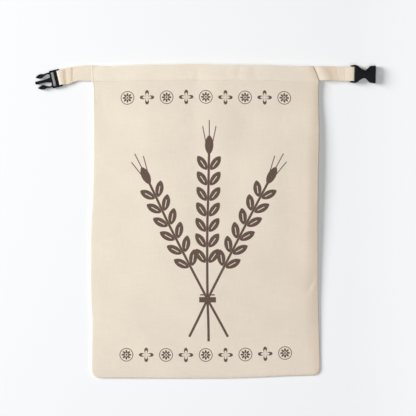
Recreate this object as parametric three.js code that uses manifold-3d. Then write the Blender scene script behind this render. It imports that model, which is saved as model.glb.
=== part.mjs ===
// A roll-top bread bag of cotton canvas that lies empty and flat on its back. A strap tab stands
// out at each end of the mouth and carries one half of a side-release buckle.
// Millimetres, +Z up. The origin is on the ground under the middle of the bag,
// +X points to the buckle socket and +Y to the mouth.
import * as THREE from 'three';
import { mergeVertices } from 'three/addons/utils/BufferGeometryUtils.js';
import Module from 'manifold-3d';

const wasm = await Module();
wasm.setup();

// Canvas bag, measured along the middle of the cloth
const bagWidth = 298;
const bagLength = 416;
const bottomEdgeY = -208.7;
const cornerRadius = 9;
const clothThickness = 1.2;
const hemDepth = 21;
const hemLine = bagLength - hemDepth;
const hemExtraThickness = 0.8;
const hemTaperFrom = 9;
const hemTaperTo = 15;
const hemEase = 1;
const seamEase = 8;
const lowHeight = 3;
const backHeight = clothThickness / 2;
const seamGap = 0.6;
const strapGap = 0.85;

// How far in from the seam each cloth takes to level out, and how full its rounding is
const frontShoulders = { left: 3.5, right: 18, bottom: 3.5 };
const frontFullness = 2.2;
const rightFullness = 1.5;
const backShoulder = 6;
const backFullness = 2;
const shoulderAngles = [0, 20, 40, 62, 90];

// Stations of each cloth: how many across and up its level part, and where it is
// measured near the hem's stitch line
const frontGrid = { columns: 21, rows: 23, hemStations: [-4, -1.2, 0, 1.2, 5, 13] };
const backGrid = { columns: 9, rows: 12, hemStations: [-10, -1.2, 1.2] };

// Straps
const strapWidth = 20;
const strapThickness = 1.3;
const strapLayerGap = 0.4;
const barGap = 0.3;
const loopStations = 9;

// Buckle
const barRadius = 1.2;
const barSides = 12;
const railInside = 10.2;
const barRoot = 0.3;
const buckleHalfWidth = 11.8;
const plugThickness = 3.8;
const prongThickness = 3;
const socketThickness = 8.4;
const socketWall = 1.7;
const plugBarHeight = 2.9;
const socketBarHeight = 4.7;
const cutPast = 1;

// How far each side edge strays outwards, by share of the length from the bottom to the mouth
const sideEdges = [
  { at: 0.00, left: 3.1, right: 3.4 },
  { at: 0.04, left: 3.0, right: 3.4 },
  { at: 0.09, left: 1.8, right: 2.7 },
  { at: 0.18, left: 1.9, right: 1.5 },
  { at: 0.25, left: 3.7, right: 0.9 },
  { at: 0.41, left: 4.3, right: 0.5 },
  { at: 0.50, left: 3.5, right: 0.5 },
  { at: 0.57, left: 1.6, right: 0.6 },
  { at: 0.63, left: 0.6, right: 0.6 },
  { at: 0.79, left: 0.2, right: 2.1 },
  { at: 0.89, left: 0.7, right: 1.1 },
  { at: 0.93, left: 0.8, right: 1.1 },
  { at: 0.95, left: 2.2, right: 1.7 },
  { at: 0.97, left: 2.8, right: -0.8 },
  { at: 1.00, left: 2.9, right: -5.8 },
];

// How far the two end edges rise above the straight line, by share of the width from the left
const endEdges = [
  { at: 0.00, bottom: -0.2, mouth: -0.4 },
  { at: 0.05, bottom: -0.7, mouth: -0.5 },
  { at: 0.12, bottom: -0.8, mouth: -0.3 },
  { at: 0.23, bottom: -0.9, mouth: 0.7 },
  { at: 0.34, bottom: -0.9, mouth: 0.8 },
  { at: 0.47, bottom: -1.0, mouth: 1.4 },
  { at: 0.60, bottom: -1.0, mouth: 0.5 },
  { at: 0.76, bottom: 0.5, mouth: 0.3 },
  { at: 0.86, bottom: 1.8, mouth: -0.6 },
  { at: 0.93, bottom: 2.4, mouth: -1.5 },
  { at: 1.00, bottom: 3.1, mouth: -1.2 },
];

// Height of the front by share of the width
const frontAcross = [
  { at: 0.00, height: 3.0 },
  { at: 0.03, height: 3.4 },
  { at: 0.08, height: 4.0 },
  { at: 0.25, height: 6.3 },
  { at: 0.50, height: 8.4 },
  { at: 0.75, height: 9.2 },
  { at: 1.00, height: 9.6 },
];

// How much of that height the left and the right side reach, and how wide the right shoulder is,
// by share of the length
const frontUp = [
  { at: 0.00, left: 0.00, right: 0.00, shoulder: 3.5 },
  { at: 0.05, left: 0.30, right: 0.05, shoulder: 4.5 },
  { at: 0.12, left: 0.55, right: 0.14, shoulder: 7 },
  { at: 0.25, left: 0.80, right: 0.42, shoulder: 14 },
  { at: 0.38, left: 0.92, right: 0.64, shoulder: 17 },
  { at: 0.52, left: 1.00, right: 0.88, shoulder: 16 },
  { at: 0.68, left: 1.00, right: 1.00, shoulder: 14 },
  { at: 0.80, left: 1.00, right: 1.00, shoulder: 17 },
  { at: 0.90, left: 1.00, right: 0.92, shoulder: 9 },
  { at: 1.00, left: 0.92, right: 0.82, shoulder: 6 },
];
const rightSideFrom = 0.35;

// Height of the side seams by share of the length
const seamHeights = [
  { at: 0.00, left: 1.5, right: 1.5 },
  { at: 0.05, left: 1.5, right: 1.5 },
  { at: 0.12, left: 1.5, right: 1.8 },
  { at: 0.25, left: 1.6, right: 2.8 },
  { at: 0.38, left: 1.7, right: 4.3 },
  { at: 0.52, left: 1.7, right: 6.2 },
  { at: 0.66, left: 1.8, right: 7.6 },
  { at: 0.79, left: 1.9, right: 6.8 },
  { at: 0.88, left: 2.2, right: 5.9 },
  { at: 0.94, left: 2.6, right: 5.4 },
  { at: 1.00, left: 2.6, right: 5.4 },
];

// Soft folds of the front: ridges, and troughs where the height is negative
const frontFolds = [
  { x: -13, y: 140, turn: 92, long: 95, wide: 15, height: -0.6 },
  { x: 23, y: 135, turn: 88, long: 90, wide: 22, height: 0.3 },
  { x: -62, y: 105, turn: 90, long: 120, wide: 32, height: 0.7 },
  { x: 52, y: 120, turn: 80, long: 95, wide: 14, height: -0.4 },
  { x: 84, y: 60, turn: 97, long: 90, wide: 20, height: 0.5 },
  { x: 26, y: -30, turn: 60, long: 60, wide: 22, height: 0.7 },
  { x: -70, y: -120, turn: 20, long: 70, wide: 26, height: 0.6 },
  { x: 72, y: -135, turn: 100, long: 55, wide: 18, height: -0.5 },
  { x: 138, y: -86, turn: 60, long: 13, wide: 5, height: -0.5 },
  { x: 134, y: 60, turn: 91, long: 90, wide: 12, height: 0.35 },
  { x: -147, y: 196, turn: 90, long: 24, wide: 16, height: 2.1 },
  { x: 165, y: 182, turn: 90, long: 40, wide: 38, height: -1.5 },
];
const stitchGroove = { depth: 0.45, wide: 1.4 };

// Rows of each strap by distance out from the seam: height of its middle above the ground, reach of
// its upper and lower edge from its axis, and how far its folds slant for each millimetre upwards
const leftStrap = {
  start: new THREE.Vector2(-150, 197.1),
  heading: 180,
  turn: 13,
  turnFrom: 8,
  turnTo: 28,
  barHeight: plugBarHeight,
  rows: [
    { at: -6.0, height: 2.60, upper: 10.0, lower: 9.4, slant: 0.00 },
    { at: 2.0, height: 2.60, upper: 10.0, lower: 9.4, slant: 0.00 },
    { at: 10.0, height: 2.80, upper: 9.8, lower: 9.3, slant: 0.00 },
    { at: 21.0, height: 2.80, upper: 9.0, lower: 8.5, slant: 0.10 },
    { at: 25.0, height: 2.65, upper: 9.1, lower: 8.1, slant: 0.20 },
    { at: 27.5, height: 2.70, upper: 9.0, lower: 8.6, slant: 0.22 },
    { at: 30.0, height: 3.30, upper: 8.7, lower: 9.7, slant: 0.22 },
    { at: 37.0, height: 3.10, upper: 9.6, lower: 10.3, slant: 0.18 },
    { at: 39.5, height: 4.30, upper: 9.7, lower: 10.0, slant: 0.14 },
    { at: 43.0, height: 4.95, upper: 9.7, lower: 9.7, slant: 0.00 },
  ],
  reach: 45.6,
  tailFrom: 25,
};
const rightStrap = {
  start: new THREE.Vector2(150, 196.5),
  heading: 0,
  turn: -1.2,
  turnFrom: 4,
  turnTo: 24,
  barHeight: socketBarHeight,
  rows: [
    { at: -9.5, height: 5.40, upper: 9.1, lower: 8.8, slant: 0.42 },
    { at: -2.8, height: 5.45, upper: 9.1, lower: 8.8, slant: 0.42 },
    { at: -1.0, height: 5.80, upper: 9.1, lower: 8.8, slant: 0.42 },
    { at: 2.5, height: 6.40, upper: 9.1, lower: 8.9, slant: 0.42 },
    { at: 7.0, height: 6.70, upper: 9.2, lower: 9.1, slant: 0.42 },
    { at: 12.0, height: 6.30, upper: 9.2, lower: 9.2, slant: 0.41 },
    { at: 18.0, height: 5.20, upper: 9.2, lower: 9.3, slant: 0.38 },
    { at: 22.0, height: 4.85, upper: 9.2, lower: 9.4, slant: 0.32 },
    { at: 27.0, height: 4.80, upper: 9.2, lower: 9.4, slant: 0.22 },
    { at: 32.0, height: 5.00, upper: 9.2, lower: 9.5, slant: 0.10 },
    { at: 37.0, height: 5.55, upper: 9.3, lower: 9.6, slant: 0.00 },
  ],
  reach: 46.1,
  tailFrom: 25,
};

// Plan outlines of the buckle, in distances from the middle of its strap bar
const plug = {
  railEnd: -1.6,
  middleBarFrom: 3.1,
  slotFrom: 6.9,
  slotTo: 10.5,
  baseEnd: 12.4,
  slotHalfWidth: 9.4,
  bevel: 0.6,
  centreProng: [
    { along: 11.8, aside: 4.2 },
    { along: 13.4, aside: 3.4 },
    { along: 15.4, aside: 2.8 },
    { along: 19.0, aside: 2.1 },
    { along: 31.8, aside: 2.0 },
    { along: 33.1, aside: 1.5 },
    { along: 33.6, aside: 0.7 },
  ],
  sideProng: [
    { along: 10.9, aside: 6.5 },
    { along: 12.0, aside: 6.7 },
    { along: 13.2, aside: 7.6 },
    { along: 15.0, aside: 8.2 },
    { along: 18.0, aside: 7.5 },
    { along: 20.4, aside: 6.5 },
    { along: 22.4, aside: 5.2 },
    { along: 24.2, aside: 4.5 },
    { along: 27.0, aside: 5.1 },
    { along: 30.5, aside: 6.3 },
    { along: 31.3, aside: 7.1 },
    { along: 30.8, aside: 7.9 },
    { along: 27.6, aside: 9.8 },
    { along: 24.4, aside: 10.4 },
    { along: 22.2, aside: 10.2 },
    { along: 20.2, aside: 9.6 },
    { along: 14.2, aside: 10.1 },
    { along: 12.0, aside: 9.9 },
    { along: 10.9, aside: 9.8 },
  ],
};
const socket = {
  railEnd: -3.2,
  bodyFrom: 3.1,
  cavityFrom: 6.5,
  cavityHalfWidth: 9.7,
  mouth: 30.2,
  collarFrom: 27.6,
  collarRise: 0.3,
  collarHalfWidth: 9.2,
  bevel: 0.9,
  edge: [
    { along: -3.2, aside: 11.1 },
    { along: -0.5, aside: 11.6 },
    { along: 2.4, aside: 11.9 },
    { along: 4.8, aside: 11.5 },
    { along: 7.0, aside: 10.3 },
    { along: 9.5, aside: 8.2 },
    { along: 12.8, aside: 6.1 },
    { along: 15.9, aside: 5.0 },
    { along: 18.9, aside: 6.5 },
    { along: 21.8, aside: 10.0 },
    { along: 23.2, aside: 10.9 },
    { along: 26.0, aside: 11.3 },
    { along: 30.2, aside: 11.8 },
  ],
};

const canvas = new THREE.MeshStandardMaterial({ color: 0xe6d9c6, roughness: 0.92, metalness: 0 });
const blackPlastic = new THREE.MeshStandardMaterial({ color: 0x17171a, roughness: 0.42, metalness: 0 });

const { clamp, lerp, smoothstep, degToRad } = THREE.MathUtils;

// Reads one column of a table along a smooth curve through its rows.
function fromTable(table, column, at) {
  const last = table.length - 1;
  const after = table.findIndex((row) => row.at >= at);
  if (after === 0) {
    return table[0][column];
  }
  if (after < 0) {
    return table[last][column];
  }
  const rows = [after - 2, after - 1, after, after + 1].map((row) => table[clamp(row, 0, last)]);
  const span = rows[2].at - rows[1].at;
  const lowSlope = (rows[2][column] - rows[0][column]) / (rows[2].at - rows[0].at);
  const highSlope = (rows[3][column] - rows[1][column]) / (rows[3].at - rows[1].at);
  const share = (at - rows[1].at) / span;
  const straight = lerp(rows[1][column], rows[2][column], smoothstep(share, 0, 1));
  const bend = share * (1 - share) * (lowSlope * (1 - share) - highSlope * share);
  return straight + bend * span;
}

// Evenly spread values, both ends included.
function spread(from, to, count) {
  return Array.from({ length: count }, (unused, index) => lerp(from, to, index / (count - 1)));
}

// Distances in from a seam that follow the rounding of a shoulder.
function shoulderInsets(shoulder) {
  return shoulderAngles.map((angle) => shoulder * (1 - Math.cos(degToRad(angle))));
}

// Share of its full rise that a cloth has reached at a distance in from the seam.
function shoulderRise(inset, shoulder, fullness) {
  const left = 1 - Math.min(inset / shoulder, 1);
  return (1 - left ** fullness) ** (1 / fullness);
}

// Plan position of a point of the flat cloth, with rounded bottom corners and straying edges.
function planPoint(across, up) {
  let fromSide = Math.min(across, bagWidth - across);
  let fromBottom = up;
  if (fromSide < cornerRadius && fromBottom < cornerRadius) {
    const p = 1 - fromSide / cornerRadius;
    const q = 1 - fromBottom / cornerRadius;
    fromSide = cornerRadius * (1 - p * Math.sqrt(1 - q * q / 2));
    fromBottom = cornerRadius * (1 - q * Math.sqrt(1 - p * p / 2));
  }
  const shareAcross = (across < bagWidth / 2 ? fromSide : bagWidth - fromSide) / bagWidth;
  const shareUp = fromBottom / bagLength;
  const left = -bagWidth / 2 - fromTable(sideEdges, 'left', shareUp);
  const right = bagWidth / 2 + fromTable(sideEdges, 'right', shareUp);
  const bottom = bottomEdgeY + fromTable(endEdges, 'bottom', shareAcross);
  const mouth = bottomEdgeY + bagLength + fromTable(endEdges, 'mouth', shareAcross);
  return new THREE.Vector2(lerp(left, right, shareAcross), lerp(bottom, mouth, shareUp));
}

// Half of the slit along the side seam, wider where a strap is caught in it.
function seamHalfGap(up) {
  const caught = smoothstep(up, hemLine - seamEase, hemLine);
  return lerp(seamGap / 2, strapThickness / 2 + strapGap, caught);
}

function seamHeight(across, up) {
  const left = fromTable(seamHeights, 'left', up / bagLength);
  const right = fromTable(seamHeights, 'right', up / bagLength);
  return lerp(left, right, across / bagWidth);
}

function foldHeight(x, y) {
  let height = 0;
  for (const fold of frontFolds) {
    const angle = degToRad(fold.turn);
    const along = (x - fold.x) * Math.cos(angle) + (y - fold.y) * Math.sin(angle);
    const aside = (y - fold.y) * Math.cos(angle) - (x - fold.x) * Math.sin(angle);
    height += fold.height * Math.exp(-((along / fold.long) ** 2) - (aside / fold.wide) ** 2);
  }
  return height;
}

function frontPoint(across, up) {
  const plan = planPoint(across, up);
  const shareUp = up / bagLength;
  const rightSide = smoothstep(across / bagWidth, rightSideFrom, 1);
  const reached = lerp(fromTable(frontUp, 'left', shareUp), fromTable(frontUp, 'right', shareUp), rightSide);
  const right = fromTable(frontUp, 'shoulder', shareUp);
  const rise = shoulderRise(across, frontShoulders.left, frontFullness)
    * shoulderRise(bagWidth - across, right, rightFullness)
    * shoulderRise(up, frontShoulders.bottom, frontFullness);
  const seam = seamHeight(across, up) + seamHalfGap(up);
  const fromStitch = (up - hemLine) / stitchGroove.wide;
  const groove = stitchGroove.depth * Math.exp(-fromStitch * fromStitch);
  const full = fromTable(frontAcross, 'height', across / bagWidth);
  const top = lerp(lowHeight, full, reached) + foldHeight(plan.x, plan.y) * reached - groove;
  return new THREE.Vector3(plan.x, plan.y, lerp(seam, top, rise));
}

function backPoint(across, up) {
  const plan = planPoint(across, up);
  const sides = Math.min(across, bagWidth - across);
  const rise = shoulderRise(sides, backShoulder, backFullness) * shoulderRise(up, backShoulder, backFullness);
  const seam = seamHeight(across, up) - seamHalfGap(up);
  return new THREE.Vector3(plan.x, plan.y, lerp(seam, backHeight, rise));
}

// Distance from the middle of the cloth to its inner face; the hem lies on the inside.
function innerDistance(across, up) {
  const sides = Math.min(across, bagWidth - across);
  const inHem = smoothstep(up, hemLine - hemEase, hemLine + hemEase);
  const hem = inHem * smoothstep(sides, hemTaperFrom, hemTaperTo);
  return clothThickness / 2 + hemExtraThickness * hem;
}

// Triangles of a grid of points, split so that both bottom corners keep good shapes.
function gridTriangles(columnCount, rowCount) {
  const triangles = [];
  for (let row = 0; row < rowCount - 1; row += 1) {
    for (let column = 0; column < columnCount - 1; column += 1) {
      const a = row * columnCount + column;
      const b = a + 1;
      const c = b + columnCount;
      const d = a + columnCount;
      if (column < columnCount / 2) {
        triangles.push(a, b, c, a, c, d);
      } else {
        triangles.push(a, b, d, b, c, d);
      }
    }
  }
  return triangles;
}

// Border of a grid of points, anticlockwise from above.
function gridBorder(columnCount, rowCount) {
  const border = [];
  for (let column = 0; column < columnCount - 1; column += 1) {
    border.push(column);
  }
  for (let row = 0; row < rowCount - 1; row += 1) {
    border.push(row * columnCount + columnCount - 1);
  }
  for (let column = columnCount - 1; column > 0; column -= 1) {
    border.push((rowCount - 1) * columnCount + column);
  }
  for (let row = rowCount - 1; row > 0; row -= 1) {
    border.push(row * columnCount);
  }
  return border;
}

// A closed sheet of cloth round a grid of middle points. It stands upright at the seams, so that
// the two cloths of the bag meet edge to edge.
function clothSolid(columns, rows, middlePoint, outerIsUp) {
  const middle = [];
  const inner = [];
  for (const up of rows) {
    for (const across of columns) {
      middle.push(middlePoint(across, up));
      inner.push(innerDistance(across, up));
    }
  }
  const triangles = gridTriangles(columns.length, rows.length);
  const sheet = new THREE.BufferGeometry().setFromPoints(middle);
  sheet.setIndex(triangles);
  sheet.computeVertexNormals();
  const above = [];
  const below = [];
  middle.forEach((point, index) => {
    const column = index % columns.length;
    const onSeam = column === 0 || column === columns.length - 1 || index < columns.length;
    const normal = new THREE.Vector3().fromBufferAttribute(sheet.attributes.normal, index);
    if (onSeam) {
      normal.setZ(0).normalize();
    }
    const upper = outerIsUp ? clothThickness / 2 : inner[index];
    const lower = outerIsUp ? inner[index] : clothThickness / 2;
    above.push(point.clone().addScaledVector(normal, upper));
    below.push(point.clone().addScaledVector(normal, -lower));
  });
  const count = middle.length;
  const index = [...triangles];
  for (let i = 0; i < triangles.length; i += 3) {
    index.push(count + triangles[i], count + triangles[i + 2], count + triangles[i + 1]);
  }
  const border = gridBorder(columns.length, rows.length);
  border.forEach((from, step) => {
    const to = border[(step + 1) % border.length];
    index.push(count + from, count + to, to, count + from, to, from);
  });
  const geometry = new THREE.BufferGeometry().setFromPoints([...above, ...below]);
  geometry.setIndex(index);
  return geometry;
}

// Stations across the bag, with the rounding of a shoulder at both ends.
function columnStations(left, right, count) {
  const level = spread(left, bagWidth - right, count).slice(1, -1);
  const rightRim = shoulderInsets(right).map((inset) => bagWidth - inset).reverse();
  return [...shoulderInsets(left), ...level, ...rightRim];
}

// Stations up the bag, from the rounding at the bottom to the open mouth.
function rowStations(shoulder, count, hemStations) {
  const hem = hemStations.map((distance) => hemLine + distance);
  const level = spread(shoulder, hem[0], count).slice(1, -1);
  return [...shoulderInsets(shoulder), ...level, ...hem, bagLength];
}

function frontPanel() {
  const columns = columnStations(frontShoulders.left, frontShoulders.right, frontGrid.columns);
  const rows = rowStations(frontShoulders.bottom, frontGrid.rows, frontGrid.hemStations);
  return clothSolid(columns, rows, frontPoint, true);
}

function backPanel() {
  const columns = columnStations(backShoulder, backShoulder, backGrid.columns);
  const rows = rowStations(backShoulder, backGrid.rows, backGrid.hemStations);
  return clothSolid(columns, rows, backPoint, false);
}

// Plan point and heading, in radians, at a distance out along a strap.
function strapPlan(strap, distance) {
  const steps = Math.max(1, Math.ceil(Math.abs(distance)));
  const point = strap.start.clone();
  for (let step = 0; step < steps; step += 1) {
    const heading = strapHeading(strap, distance * (step + 0.5) / steps);
    point.x += Math.cos(heading) * distance / steps;
    point.y += Math.sin(heading) * distance / steps;
  }
  return { point, heading: strapHeading(strap, distance) };
}

function strapHeading(strap, distance) {
  return degToRad(strap.heading + strap.turn * smoothstep(distance, strap.turnFrom, strap.turnTo));
}

// Side view of a strap: out from the seam, round the bar of the buckle and back under itself.
function strapMiddleLine(strap) {
  const bend = barRadius + barGap + strapThickness / 2;
  const layers = strapThickness + strapLayerGap;
  const tailHeight = fromTable(strap.rows, 'height', strap.tailFrom) - layers;
  const upper = strap.rows.map((row) => new THREE.Vector3(row.at, row.height, 0));
  const round = spread(90, -90, loopStations).map((angle) => new THREE.Vector3(
    strap.reach + bend * Math.cos(degToRad(angle)),
    strap.barHeight + bend * Math.sin(degToRad(angle)),
    0,
  ));
  const lower = spread(0.35, 1, 3).map((share) => new THREE.Vector3(
    lerp(strap.reach, strap.tailFrom, share),
    lerp(strap.barHeight - bend, tailHeight, smoothstep(share, 0, 1)),
    0,
  ));
  return new THREE.CatmullRomCurve3([...upper, ...round, ...lower], false, 'centripetal');
}

// Plan point on one edge of a strap; the upper edge is the one towards the mouth.
function strapEdge(strap, distance, edge) {
  const side = edge === 'upper' ? 1 : -1;
  const aside = side * fromTable(strap.rows, edge, distance);
  const slant = fromTable(strap.rows, 'slant', distance);
  const { point, heading } = strapPlan(strap, distance - slant * aside);
  const across = new THREE.Vector2(-Math.sin(heading), Math.cos(heading));
  return point.addScaledVector(across, aside * Math.sign(across.y));
}

function strapTab(strap) {
  const line = strapMiddleLine(strap);
  const samples = (line.points.length - 1) * 2;
  const leftSide = [];
  const rightSide = [];
  for (let i = 0; i <= samples; i += 1) {
    const point = line.getPoint(i / samples);
    const along = line.getTangent(i / samples);
    const aside = new THREE.Vector2(-along.y, along.x).multiplyScalar(strapThickness / 2);
    leftSide.push(new THREE.Vector2(point.x + aside.x, point.y + aside.y));
    rightSide.unshift(new THREE.Vector2(point.x - aside.x, point.y - aside.y));
  }
  const profile = new THREE.Shape([...leftSide, ...rightSide]);
  const geometry = new THREE.ExtrudeGeometry(profile, { depth: strapWidth, bevelEnabled: false });
  const position = geometry.attributes.position;
  const upperIsFar = Math.cos(degToRad(strap.heading)) < 0;
  for (let i = 0; i < position.count; i += 1) {
    const isFar = position.getZ(i) > strapWidth / 2;
    const { x, y } = strapEdge(strap, position.getX(i), isFar === upperIsFar ? 'upper' : 'lower');
    position.setXYZ(i, x, y, position.getY(i));
  }
  return geometry;
}

// A flat plastic shape, levelled at half its thickness, with its edges bevelled.
function plate(points, thickness, bevel) {
  const geometry = new THREE.ExtrudeGeometry(new THREE.Shape(points), {
    depth: thickness - 2 * bevel,
    bevelThickness: bevel,
    bevelSize: bevel,
    bevelOffset: -bevel,
    bevelSegments: 1,
  });
  return geometry.translate(0, 0, bevel - thickness / 2);
}

function box(from, to, halfWidth, low, high) {
  const geometry = new THREE.BoxGeometry(to - from, halfWidth * 2, high - low);
  return geometry.translate((from + to) / 2, 0, (low + high) / 2);
}

function toManifold(geometry) {
  const bare = geometry.clone();
  bare.deleteAttribute('normal');
  bare.deleteAttribute('uv');
  const merged = mergeVertices(bare, 1e-4);
  return new wasm.Manifold(new wasm.Mesh({
    numProp: 3,
    vertProperties: new Float32Array(merged.attributes.position.array),
    triVerts: new Uint32Array(merged.index.array),
  }));
}

function fromManifold(solid) {
  const mesh = solid.getMesh();
  const geometry = new THREE.BufferGeometry();
  geometry.setAttribute('position', new THREE.BufferAttribute(new Float32Array(mesh.vertProperties), 3));
  geometry.setIndex(new THREE.BufferAttribute(new Uint32Array(mesh.triVerts), 1));
  return geometry;
}

function outlinePoints(rows, side) {
  return rows.map((row) => new THREE.Vector2(row.along, row.aside * side));
}

// An outline and its mirror image across the long axis, as one loop.
function mirroredOutline(rows) {
  return [...outlinePoints(rows, -1), ...outlinePoints(rows, 1).reverse()];
}

function strapBar() {
  const length = 2 * (railInside + barRoot);
  const bar = new THREE.CylinderGeometry(barRadius, barRadius, length, barSides);
  return toManifold(bar);
}

function plugSolid() {
  const base = mirroredOutline([
    { along: plug.railEnd, aside: buckleHalfWidth },
    { along: plug.baseEnd, aside: buckleHalfWidth },
  ]);
  const beyond = plugThickness;
  const strapSpace = box(plug.railEnd - cutPast, plug.middleBarFrom, railInside, -beyond, beyond);
  const ladderSlot = box(plug.slotFrom, plug.slotTo, plug.slotHalfWidth, -beyond, beyond);
  const prongs = [
    mirroredOutline(plug.centreProng),
    outlinePoints(plug.sideProng, 1),
    outlinePoints(plug.sideProng, -1),
  ];
  let solid = toManifold(plate(base, plugThickness, plug.bevel))
    .subtract(toManifold(strapSpace))
    .subtract(toManifold(ladderSlot))
    .add(strapBar());
  for (const prong of prongs) {
    solid = solid.add(toManifold(plate(prong, prongThickness, plug.bevel)));
  }
  return fromManifold(solid);
}

function socketSolid() {
  const beyond = socketThickness;
  const inside = socketThickness / 2 - socketWall;
  const collarHalf = socketThickness / 2 + socket.collarRise;
  const strapSpace = box(socket.railEnd - cutPast, socket.bodyFrom, railInside, -beyond, beyond);
  const cavity = box(socket.cavityFrom, socket.mouth + cutPast, socket.cavityHalfWidth, -inside, inside);
  const collar = box(socket.collarFrom, socket.mouth, socket.collarHalfWidth, -collarHalf, collarHalf);
  const solid = toManifold(plate(mirroredOutline(socket.edge), socketThickness, socket.bevel))
    .add(toManifold(collar))
    .subtract(toManifold(strapSpace))
    .subtract(toManifold(cavity))
    .add(strapBar());
  return fromManifold(solid);
}

const bag = new THREE.Group();
bag.name = 'bread_bag';

function addPart(name, geometry, material) {
  const mesh = new THREE.Mesh(geometry, material.clone());
  mesh.name = name;
  bag.add(mesh);
  return mesh;
}

// Sets a buckle half on the strap that loops round its bar.
function setOnStrap(mesh, strap) {
  const { point, heading } = strapPlan(strap, strap.reach);
  mesh.position.set(point.x, point.y, strap.barHeight);
  mesh.rotation.z = heading;
}

addPart('front_panel', frontPanel(), canvas);
addPart('back_panel', backPanel(), canvas);
addPart('left_tab', strapTab(leftStrap), canvas);
addPart('right_tab', strapTab(rightStrap), canvas);
setOnStrap(addPart('buckle_plug', plugSolid(), blackPlastic), leftStrap);
setOnStrap(addPart('buckle_socket', socketSolid(), blackPlastic), rightStrap);

export default bag;
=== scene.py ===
import math

import bmesh
import bpy
from mathutils import Matrix, Vector, noise
from mathutils.geometry import interpolate_bezier


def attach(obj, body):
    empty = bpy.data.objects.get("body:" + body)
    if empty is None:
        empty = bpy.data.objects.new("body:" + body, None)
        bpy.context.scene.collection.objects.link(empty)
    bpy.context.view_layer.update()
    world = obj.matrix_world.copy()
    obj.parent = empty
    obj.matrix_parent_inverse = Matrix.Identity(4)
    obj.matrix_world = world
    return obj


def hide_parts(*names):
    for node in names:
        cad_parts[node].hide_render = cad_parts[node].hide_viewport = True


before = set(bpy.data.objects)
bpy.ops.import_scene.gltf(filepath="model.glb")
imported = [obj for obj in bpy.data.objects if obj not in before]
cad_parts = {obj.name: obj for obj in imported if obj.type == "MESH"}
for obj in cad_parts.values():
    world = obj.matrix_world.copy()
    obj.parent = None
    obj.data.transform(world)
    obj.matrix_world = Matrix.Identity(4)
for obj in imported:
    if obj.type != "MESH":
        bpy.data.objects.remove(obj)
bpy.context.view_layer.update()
print("frame loaded")

# Sizes are in millimetres; each mesh is scaled to metres once it is shaped
toMetres = 0.001
sameSpot = 0.01  # points closer than this count as one
clothSpan = 500.0  # flat cloth across the whole UV square
clothMargin = 8.0  # seam allowance beside and below the finished cloth on the UV map


def mix(first, second, share):
    return first + (second - first) * share


def easeStep(at, low, high):
    share = min(max((at - low) / (high - low), 0.0), 1.0)
    return share * share * (3.0 - 2.0 * share)


# Value at a position along a smooth curve through one column of a table
def fromTable(table, at, column=1):
    last = len(table) - 1
    if at <= table[0][0]:
        return table[0][column]
    if at >= table[last][0]:
        return table[last][column]
    after = next(index for index, row in enumerate(table) if row[0] >= at)
    places = [min(max(index, 0), last) for index in range(after - 2, after + 2)]
    ats = [table[place][0] for place in places]
    values = [table[place][column] for place in places]
    span = ats[2] - ats[1]
    lowSlope = (values[2] - values[0]) / (ats[2] - ats[0])
    highSlope = (values[3] - values[1]) / (ats[3] - ats[1])
    share = (at - ats[1]) / span
    bend = share * (1.0 - share) * (lowSlope * (1.0 - share) - highSlope * share)
    return mix(values[1], values[2], easeStep(share, 0.0, 1.0)) + bend * span


def spread(start, end, step):
    count = max(1, round(abs(end - start) / step))
    return [mix(start, end, index / count) for index in range(count + 1)]


# Even curve through points; each handle reaches a third of its own span
def smoothThrough(points, perSpan):
    knots = [Vector(point).to_3d() for point in points]
    last = len(knots) - 1
    curve = [knots[0]]
    for index in range(last):
        here = knots[index]
        there = knots[index + 1]
        reach = (there - here).length / 3.0
        leaving = (there - knots[max(index - 1, 0)]).normalized() * reach
        arriving = (knots[min(index + 2, last)] - here).normalized() * reach
        curve += interpolate_bezier(here, here + leaving, there - arriving, there, perSpan + 1)[1:]
    return curve


# Flat grid with a point for each pair of stations, placed at their two indices
def stationGrid(columns, rows):
    spans = (len(columns) - 1, len(rows) - 1)
    bm = bmesh.new()
    bmesh.ops.create_grid(bm, x_segments=spans[0], y_segments=spans[1], size=0.5)
    bmesh.ops.translate(bm, vec=(0.5, 0.5, 0.0), verts=bm.verts)
    bmesh.ops.scale(bm, vec=(spans[0], spans[1], 1.0), verts=bm.verts)
    return bm


def makePiece(name, bm, materials, sharpAngle=None):
    bmesh.ops.scale(bm, vec=(toMetres, toMetres, toMetres), verts=bm.verts)
    mesh = bpy.data.meshes.new(name)
    bm.to_mesh(mesh)
    bm.free()
    for material in materials:
        mesh.materials.append(material)
    mesh.shade_smooth()
    if sharpAngle is not None:
        mesh.set_sharp_from_angle(angle=math.radians(sharpAngle))
    piece = bpy.data.objects.new(name, mesh)
    bpy.context.scene.collection.objects.link(piece)
    return piece


# Writes each point's place on the flat cloth to the UV map
def mapFlat(bm, flat, margin):
    layer = bm.loops.layers.uv.new("cloth")
    for face in bm.faces:
        for loop in face.loops:
            place = loop.vert[flat]
            loop[layer].uv = ((place.x + margin) / clothSpan, (place.y + margin) / clothSpan)


def thicken(piece, thickness, offset):
    shell = piece.modifiers.new("clothThickness", "SOLIDIFY")
    shell.thickness = thickness * toMetres
    shell.offset = offset
    return shell


def feed(tree, socket, value):
    if isinstance(value, bpy.types.NodeSocket):
        tree.links.new(value, socket)
    else:
        socket.default_value = value


def calc(tree, operation, first, second=0.0, clamp=False):
    node = tree.nodes.new("ShaderNodeMath")
    node.operation = operation
    node.use_clamp = clamp
    feed(tree, node.inputs[0], first)
    feed(tree, node.inputs[1], second)
    return node.outputs[0]


def plus(tree, first, second):
    return calc(tree, "ADD", first, second)


def minus(tree, first, second):
    return calc(tree, "SUBTRACT", first, second)


def times(tree, first, second):
    return calc(tree, "MULTIPLY", first, second)


def largest(tree, values):
    most = values[0]
    for value in values[1:]:
        most = calc(tree, "MAXIMUM", most, value)
    return most


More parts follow.
